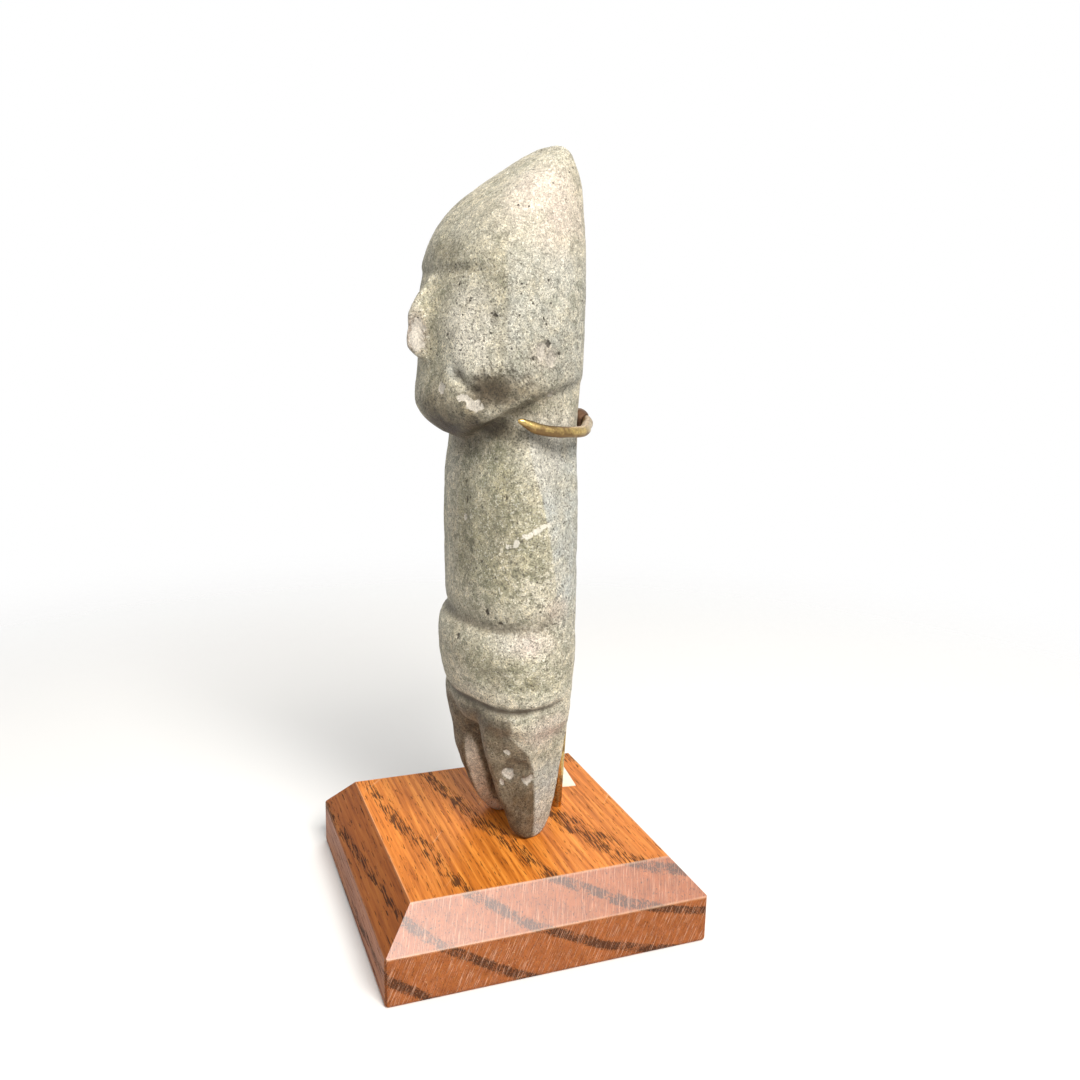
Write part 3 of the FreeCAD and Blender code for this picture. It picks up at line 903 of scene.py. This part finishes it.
def ring_bands(n, x, y, z):
    """An open-pored band for each ring; the pith runs nearly along X above and beside the block."""
    wander = n.math("MULTIPLY", n.math("SUBTRACT", n.noise(55.0, 3.0, 0.5), 0.5), RING_WANDER)
    across = n.math("SUBTRACT", n.math("SUBTRACT", y, n.math("MULTIPLY", x, PITH_DRIFT_Y)), PITH_Y)
    above = n.math("SUBTRACT", n.math("SUBTRACT", z, n.math("MULTIPLY", x, PITH_DRIFT_Z)), PITH_Z)
    radius = n.math("SQRT", n.math("ADD", n.math("MULTIPLY", across, across),
                                   n.math("MULTIPLY", above, above)))
    radius = n.math("ADD", radius, wander)
    band = None
    for ring in RINGS:
        inside = n.math("SUBTRACT", radius, ring)
        one = n.math("MULTIPLY", n.step(inside, *BAND_RISE), n.step(inside, *reversed(BAND_FALL)))
        band = one if band is None else n.math("MAXIMUM", band, one)
    return band


def pored(n, colour, band, end, crowding):
    """Vessels: long dashes on the faces, dots on the end; returns the colour and the vessels."""
    dashes = n.noise(3000.0, 2.0, 0.6, place=n.stretch((14, 1, 1)))
    gather = n.math("MULTIPLY", band, n.ramp(crowding, [(0.34, 0.30), (0.54, 1.0)]))
    crowd = n.math("MULTIPLY", gather, n.math("ADD", n.math("MULTIPLY", end, 0.07), 0.155))
    vessels = n.step(n.math("ADD", dashes, crowd), 0.62, 0.67)
    soft_band = n.math("MULTIPLY", gather, n.math("ADD", n.math("MULTIPLY", end, 0.34), 0.16))
    colour = n.mix(soft_band, colour, PORED_WOOD)
    return n.mix(n.math("MULTIPLY", vessels, 0.86), colour, OPEN_VESSEL), vessels


def sawn(n, colour, y, z, end):
    """Saw marks on the end grain, steep and close together; returns the colour and the marks."""
    lean = n.new("ShaderNodeCombineXYZ")
    n.put(lean.inputs[0], n.math("SUBTRACT", y, n.math("MULTIPLY", z, SAW_LEAN)))
    n.put(lean.inputs[1], n.math("MULTIPLY", z, 0.045))
    saw = n.noise(4000.0, 3.0, 0.75, place=lean.outputs[0])
    marks = n.math("MULTIPLY", n.step(saw, 0.52, 0.62), end)
    colour = n.mix(n.math("MULTIPLY", marks, 0.46), colour, SAWN_LIGHT)
    dull = n.math("MULTIPLY", n.step(saw, 0.46, 0.34), end)
    return n.mix(n.math("MULTIPLY", dull, 0.62), colour, SAWN_DARK), marks


def scratched(n, colour):
    """A few light scratches; returns the colour and the scratches."""
    scratch = n.noise(1500.0, 2.0, 0.6, place=n.stretch((1, 40, 1), turn=(0, 0, 52)))
    scratch = n.math("MULTIPLY", n.step(scratch, 0.66, 0.74), n.step(n.noise(70.0, 2.0), 0.48, 0.62))
    return n.mix(n.math("MULTIPLY", scratch, 0.35), colour, SCRATCHED_WOOD), scratch


def rubbed(n, colour, x, y, z, patchy):
    """Paler wood along the two arrises of the bevel."""
    top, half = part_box("wood_base")[1][2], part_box("wood_base")[1][0]
    reach = n.math("MAXIMUM", n.math("ABSOLUTE", x), n.math("ABSOLUTE", y))
    rim = n.math("ABSOLUTE", n.math("SUBTRACT", reach, half - BEVEL_WIDTH))
    rim = n.step(rim, 0.45 * MM, 0.10 * MM)
    rim = n.math("MULTIPLY", rim, n.step(z, top - 0.5 * MM, top - 0.2 * MM))
    knee = n.math("ABSOLUTE", n.math("SUBTRACT", z, top - BEVEL_DROP))
    knee = n.step(knee, 0.40 * MM, 0.08 * MM)
    edges = n.math("MULTIPLY", n.math("MAXIMUM", rim, knee), n.ramp(patchy, [(0.3, 0.3), (0.6, 1.0)]))
    return n.mix(n.math("MULTIPLY", edges, 0.32), colour, RUBBED_WOOD)


def oak_material():
    n = Nodes("varnished_oak")
    split = n.new("ShaderNodeSeparateXYZ")
    n.link(n.place, split.inputs[0])
    x, y, z = split.outputs
    facing = n.new("ShaderNodeSeparateXYZ")
    n.link(n.new("ShaderNodeTexCoord").outputs["Normal"], facing.inputs[0])
    end = n.step(n.math("ABSOLUTE", facing.outputs[0]), 0.35, 0.6)

    streaks = n.noise(900.0, 4.0, 0.65, place=n.stretch((28, 1, 1)))
    figure = n.noise(120.0, 3.0, 0.5, place=n.stretch((10, 1, 1)))
    patchy = n.noise(260.0, 3.0, 0.6, place=n.stretch((2, 1, 1)))
    colour = n.mix(1.0, n.ramp(streaks, OAK_FACE), n.ramp(figure, [(0.3, 0.80), (0.7, 1.12)]),
                   "MULTIPLY")
    end_colour = n.ramp(n.noise(420.0, 4.0, 0.6), OAK_END)
    colour = n.mix(n.math("MULTIPLY", end, 0.85), colour, end_colour)
    colour, vessels = pored(n, colour, ring_bands(n, x, y, z), end, patchy)
    colour, marks = sawn(n, colour, y, z, end)
    colour, scratches = scratched(n, colour)
    colour = rubbed(n, colour, x, y, z, patchy)
    # painted shade on the block's front side
    front = n.step(facing.outputs[1], -0.35, -0.75)
    colour = n.mix(n.math("MULTIPLY", front, 0.85), colour, FRONT_SIDE_SHADE, "MULTIPLY")
    n.link(colour, n.shader.inputs["Base Color"])

    # the varnish is dull in the vessels and on the end grain, and shines on the lit bevel
    dull = n.math("MAXIMUM", vessels, n.math("MULTIPLY", end, 0.8))
    rough = n.mix(dull, n.ramp(streaks, [(0.3, 0.44), (0.7, 0.34)]), (0.62, 0.62, 0.62))
    n.link(rough, n.shader.inputs["Roughness"])
    n.shader.inputs["Specular IOR Level"].default_value = 0.08
    lit_bevel = n.math("MULTIPLY", n.step(facing.outputs[0], 0.45, 0.7),
                       n.step(facing.outputs[2], 0.4, 0.6))
    coat = n.math("ADD", n.math("MULTIPLY", lit_bevel, 0.88), 0.02)
    n.link(coat, n.shader.inputs["Coat Weight"])
    n.shader.inputs["Coat Roughness"].default_value = 0.42
    n.shader.inputs["Coat IOR"].default_value = 1.62
    # painted reflection: the coat's pink tint lays a pinkish sheen on the lit bevel
    n.shader.inputs["Coat Tint"].default_value = (1.0, 0.93, 0.93, 1)
    height = n.math("SUBTRACT", n.math("MULTIPLY", streaks, 0.5), n.math("MULTIPLY", vessels, 1.3))
    height = n.math("ADD", height, n.math("MULTIPLY", marks, 0.7))
    height = n.math("SUBTRACT", height, n.math("MULTIPLY", scratches, 0.3))
    n.bump(height, 0.12 * MM, 0.8)
    return n.material


# ---- brass, braze and label ---------------------------------------------------------------
def lumpy_braze():
    """Braze that ran into the corner of the rod and the collar, with an uneven skin."""
    piece = remeshed_copy(frame["nodes"]["solder_joint"], "braze", BRAZE_VOXEL)
    mesh = piece.data
    points, normals = vertex_places(mesh), vertex_normals(mesh)
    lumps = np.array([noise.fractal(Vector(p) / BRAZE_LUMP, 1.0, 2.0, 3) for p in points])
    set_places(mesh, points + normals * (np.clip(lumps, -1, 0.6) * BRAZE_UNEVEN)[:, None])
    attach(piece, "stand")
    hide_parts("solder_joint")
    return piece


def pointed_end(local):
    """Draw the wire's near end to a blunt point, in the figure's frame."""
    near = local[:, 0] > 0
    tip = local[near][local[near][:, 1].argsort()[:60]].mean(axis=0)
    inner = local[near & (np.abs(local[:, 1] - tip[1] - 4.0) < 0.4)].mean(axis=0)
    along = (inner - tip) / np.linalg.norm(inner - tip)
    reach = (local - tip) @ along
    radial = local - tip - reach[:, None] * along
    thin = 1.0 - WIRE_THINNING * smooth_step(-reach, -WIRE_TAPER, 0.6)
    close = near & (reach < WIRE_TAPER) & (local[:, 1] < inner[1] + 0.6)
    return np.where(close[:, None], tip + reach[:, None] * along + radial * thin[:, None], local)


def bent_wire_collar():
    """The collar with a pointed near end and slight marks of the hammer."""
    piece = remeshed_copy(frame["nodes"]["neck_collar"], "collar_wire", WIRE_VOXEL)
    mesh = piece.data
    points, normals = vertex_places(mesh), vertex_normals(mesh)
    waves = np.array([noise.fractal(Vector(p) / WIRE_WAVE, 1.0, 2.0, 2) for p in points])
    points = points + normals * (np.clip(waves, -1, 0.4) * WIRE_UNEVEN)[:, None]
    figure = FigureFrame(frame["nodes"]["stone_figure"])
    set_places(mesh, figure.world(pointed_end(figure.local(points))))
    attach(piece, "stand")
    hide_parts("neck_collar")
    return piece


def brass_material(name, bright, tarnish, roughness, spread, scale):
    n = Nodes(name)
    stain = n.noise(scale, 5.0, 0.65, distortion=0.5)
    fine = n.noise(scale * 6.0, 3.0, 0.6)
    facing = n.new("ShaderNodeSeparateXYZ")
    n.link(n.new("ShaderNodeTexCoord").outputs["Normal"], facing.inputs[0])
    # painted reflection: the wire is painted tarnish-dark on its underside and its crown, leaving a
    # bright band between them like the banded reflections on polished wire; rubbed holds this painted
    # reflection, not rubbing
    dark_reflection_under = n.step(facing.outputs[2], 0.1, -0.6)
    dark_reflection_crown = n.step(facing.outputs[2], 0.72, 0.96)
    rubbed = n.math("MULTIPLY", n.math("MAXIMUM", dark_reflection_under, dark_reflection_crown), 0.8)
    low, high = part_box("solder_joint")
    away = n.new("ShaderNodeVectorMath", operation="DISTANCE")
    n.link(n.place, away.inputs[0])
    away.inputs[1].default_value = [(a + b) / 2 for a, b in zip(low, high)]
    heat = n.step(n.math("ADD", away.outputs["Value"], n.math("MULTIPLY", stain, 4 * MM)),
                  HEAT_REACH[1], HEAT_REACH[0])
    amount = n.math("ADD", n.step(stain, 0.44, 0.66), rubbed, clamp=True)
    amount = n.math("MAXIMUM", amount, heat)
    colour = n.mix(amount, bright, tarnish)
    colour = n.mix(1.0, colour, n.ramp(fine, [(0.3, 0.78), (0.7, 1.12)]), "MULTIPLY")
    n.link(colour, n.shader.inputs["Base Color"])
    n.shader.inputs["Metallic"].default_value = 1.0
    rough = n.ramp(n.math("ADD", n.math("MULTIPLY", amount, 0.5), n.math("MULTIPLY", fine, 0.5)),
                   [(0.2, roughness), (0.8, roughness + spread)])
    n.link(rough, n.shader.inputs["Roughness"])
    n.bump(n.math("ADD", stain, n.math("MULTIPLY", fine, 0.4)), 0.08 * MM, 0.7)
    return n.material


def label_material():
    n = Nodes("blank_label")
    fibre = n.noise(1400.0, 4.0, 0.65, distortion=1.2)
    age = n.noise(160.0, 3.0, 0.6)
    colour = n.ramp(age, [(0.35, (0.74, 0.68, 0.52)), (0.65, (0.86, 0.82, 0.69))])
    colour = n.mix(1.0, colour, n.ramp(fibre, [(0.3, 0.90), (0.7, 1.04)]), "MULTIPLY")
    n.link(colour, n.shader.inputs["Base Color"])
    n.shader.inputs["Roughness"].default_value = 0.72
    n.bump(fibre, 0.03 * MM, 0.6)
    return n.material


def set_material(obj, material):
    obj.data.materials.clear()
    obj.data.materials.append(material)


# ---- build --------------------------------------------------------------------------------
clean_scene_settings()
make_camera()
make_lights()
make_surround()
make_floor()
set_material(carve_figure(), stone_material())
set_material(eased_block(), oak_material())
brass = brass_material("aged_brass", BRIGHT_BRASS, BROWN_BRASS, 0.20, 0.30, 300.0)
set_material(frame["nodes"]["upright_rod"], brass)
set_material(bent_wire_collar(), brass)
braze = brass_material("rough_braze", BRIGHT_BRAZE, BROWN_BRAZE, 0.42, 0.35, 600.0)
set_material(lumpy_braze(), braze)
set_material(frame["nodes"]["paper_label"], label_material())
